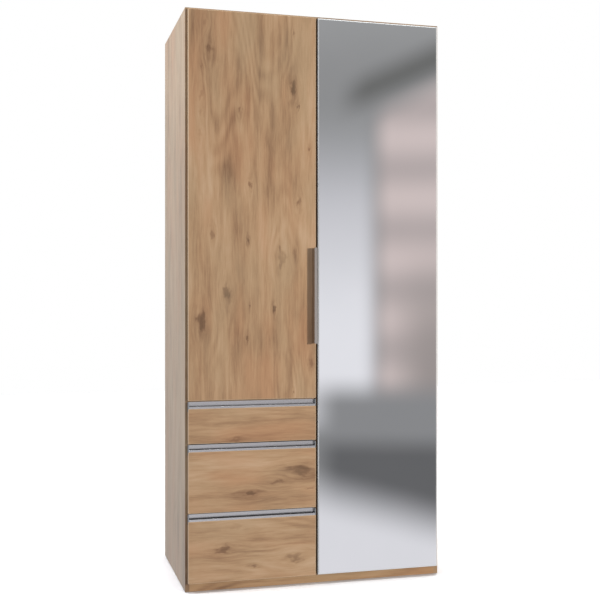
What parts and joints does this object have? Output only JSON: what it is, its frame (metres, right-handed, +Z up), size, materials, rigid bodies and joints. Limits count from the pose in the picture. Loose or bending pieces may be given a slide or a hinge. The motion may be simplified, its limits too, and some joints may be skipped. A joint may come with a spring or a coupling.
{
  "type": "wardrobe with doors",
  "caption": "Tall wardrobe in oak decor: a hinged door above drawers with aluminium grip rails on the left, and a full-height mirror door on the right.",
  "frame": {"origin": "on the floor, in the middle of the overall width and depth", "axes": "+X to the right seen from the front, +Y from the doors to the back, +Z up"},
  "size_m": [1, 0.6144, 2.16],
  "materials": {
    "front_oak_decor": "oak decor foil with visible knots, matt",
    "carcass_oak_decor": "oak decor melamine, matt",
    "back_hardboard": "printed hardboard, matt",
    "drawer_box_decor": "linen decor melamine, matt",
    "mirror_door_board": "grey melamine, matt",
    "mirror_glass": "silvered float glass, ground edge",
    "grip_rail_aluminium": "satin anodised",
    "handle_steel": "satin nickel",
    "clothes_rail_chrome": "bright chrome",
    "hinge_steel": "nickel-plated",
    "zinc_fittings": "zinc-plated",
    "runner_enamel": "powder-coated",
    "roller_plastic": "moulded nylon",
    "grey_plastic": "moulded",
    "glide_plastic": "moulded",
    "beech_dowel": "raw"
  },
  "bodies": {
    "carcass": {"left_side_panel": "carcass_oak_decor", "right_side_panel": "carcass_oak_decor", "partition": "carcass_oak_decor", "top_panel": "carcass_oak_decor", "bottom_panel": "carcass_oak_decor", "front_plinth": "carcass_oak_decor", "rear_plinth": "carcass_oak_decor", "plinth_brace": "carcass_oak_decor", "left_back_board": "back_hardboard", "right_back_board": "back_hardboard", "drawer_housing_shelf": "carcass_oak_decor", "left_hat_shelf": "carcass_oak_decor", "right_hat_shelf": "carcass_oak_decor", "left_clothes_rail": "clothes_rail_chrome", "right_clothes_rail": "clothes_rail_chrome", "rail_sockets": "grey_plastic", "shelf_pins": "zinc_fittings", "cam_discs": "zinc_fittings", "cam_bolts": "zinc_fittings", "dowels": "beech_dowel", "floor_glides": "glide_plastic", "wall_brackets": "zinc_fittings", "hinge_arms": "hinge_steel", "hinge_plates": "hinge_steel", "hinge_pins": "hinge_steel", "cabinet_runners": "runner_enamel", "carcass_screws": "zinc_fittings"},
    "left_door": {"left_door_panel": "front_oak_decor", "left_hinge_cups": "hinge_steel", "left_cup_screws": "zinc_fittings", "bar_handle": "handle_steel", "handle_screws": "zinc_fittings"},
    "mirror_door": {"mirror_door_panel": "mirror_door_board", "mirror_glass": "mirror_glass", "right_hinge_cups": "hinge_steel", "right_cup_screws": "zinc_fittings"},
    "upper_drawer": {"upper_drawer_front": "front_oak_decor", "upper_grip_rail": "grip_rail_aluminium", "upper_drawer_sides": "drawer_box_decor", "upper_drawer_back": "drawer_box_decor", "upper_drawer_bottom": "back_hardboard", "upper_drawer_runners": "runner_enamel"},
    "upper_front_roller_pair": {"upper_front_rollers": "roller_plastic"},
    "upper_rear_roller_pair": {"upper_rear_rollers": "roller_plastic"},
    "middle_drawer": {"middle_drawer_front": "front_oak_decor", "middle_grip_rail": "grip_rail_aluminium", "middle_drawer_sides": "drawer_box_decor", "middle_drawer_back": "drawer_box_decor", "middle_drawer_bottom": "back_hardboard", "middle_drawer_runners": "runner_enamel"},
    "middle_front_roller_pair": {"middle_front_rollers": "roller_plastic"},
    "middle_rear_roller_pair": {"middle_rear_rollers": "roller_plastic"},
    "lower_drawer": {"lower_drawer_front": "front_oak_decor", "lower_grip_rail": "grip_rail_aluminium", "lower_drawer_sides": "drawer_box_decor", "lower_drawer_back": "drawer_box_decor", "lower_drawer_bottom": "back_hardboard", "lower_drawer_runners": "runner_enamel"},
    "lower_front_roller_pair": {"lower_front_rollers": "roller_plastic"},
    "lower_rear_roller_pair": {"lower_rear_rollers": "roller_plastic"}
  },
  "joints": [
    {"name": "left_door_hinge", "type": "hinge", "parent": "carcass", "child": "left_door", "pos_m": [-0.4865, -0.2595, 1.43], "axis": [0, 0, -1], "range_deg": [0, 95]},
    {"name": "mirror_door_hinge", "type": "hinge", "parent": "carcass", "child": "mirror_door", "pos_m": [0.4865, -0.2595, 1.0935], "axis": [0, 0, 1], "range_deg": [0, 95]},
    {"name": "upper_drawer_slide", "type": "slide", "parent": "carcass", "child": "upper_drawer", "axis": [0, -1, 0], "range_m": [0, 0.375]},
    {"name": "upper_front_rollers_turn", "type": "hinge", "parent": "carcass", "child": "upper_front_roller_pair", "pos_m": [-0.246, -0.23275, 0.5983], "axis": [1, 0, 0], "continuous": true},
    {"name": "upper_rear_rollers_turn", "type": "hinge", "parent": "upper_drawer", "child": "upper_rear_roller_pair", "pos_m": [-0.246, 0.18305, 0.5956], "axis": [1, 0, 0], "continuous": true},
    {"name": "middle_drawer_slide", "type": "slide", "parent": "carcass", "child": "middle_drawer", "axis": [0, -1, 0], "range_m": [0, 0.375]},
    {"name": "middle_front_rollers_turn", "type": "hinge", "parent": "carcass", "child": "middle_front_roller_pair", "pos_m": [-0.246, -0.23275, 0.3423], "axis": [1, 0, 0], "continuous": true},
    {"name": "middle_rear_rollers_turn", "type": "hinge", "parent": "middle_drawer", "child": "middle_rear_roller_pair", "pos_m": [-0.246, 0.18305, 0.3396], "axis": [1, 0, 0], "continuous": true},
    {"name": "lower_drawer_slide", "type": "slide", "parent": "carcass", "child": "lower_drawer", "axis": [0, -1, 0], "range_m": [0, 0.375]},
    {"name": "lower_front_rollers_turn", "type": "hinge", "parent": "carcass", "child": "lower_front_roller_pair", "pos_m": [-0.246, -0.23275, 0.0843], "axis": [1, 0, 0], "continuous": true},
    {"name": "lower_rear_rollers_turn", "type": "hinge", "parent": "lower_drawer", "child": "lower_rear_roller_pair", "pos_m": [-0.246, 0.18305, 0.0816], "axis": [1, 0, 0], "continuous": true}
  ],
  "couplings": [
    {"joint": "upper_front_rollers_turn", "follows": "upper_drawer_slide", "rad_per_m": 119.05},
    {"joint": "upper_rear_rollers_turn", "follows": "upper_drawer_slide", "rad_per_m": 119.05},
    {"joint": "middle_front_rollers_turn", "follows": "middle_drawer_slide", "rad_per_m": 119.05},
    {"joint": "middle_rear_rollers_turn", "follows": "middle_drawer_slide", "rad_per_m": 119.05},
    {"joint": "lower_front_rollers_turn", "follows": "lower_drawer_slide", "rad_per_m": 119.05},
    {"joint": "lower_rear_rollers_turn", "follows": "lower_drawer_slide", "rad_per_m": 119.05}
  ]
}
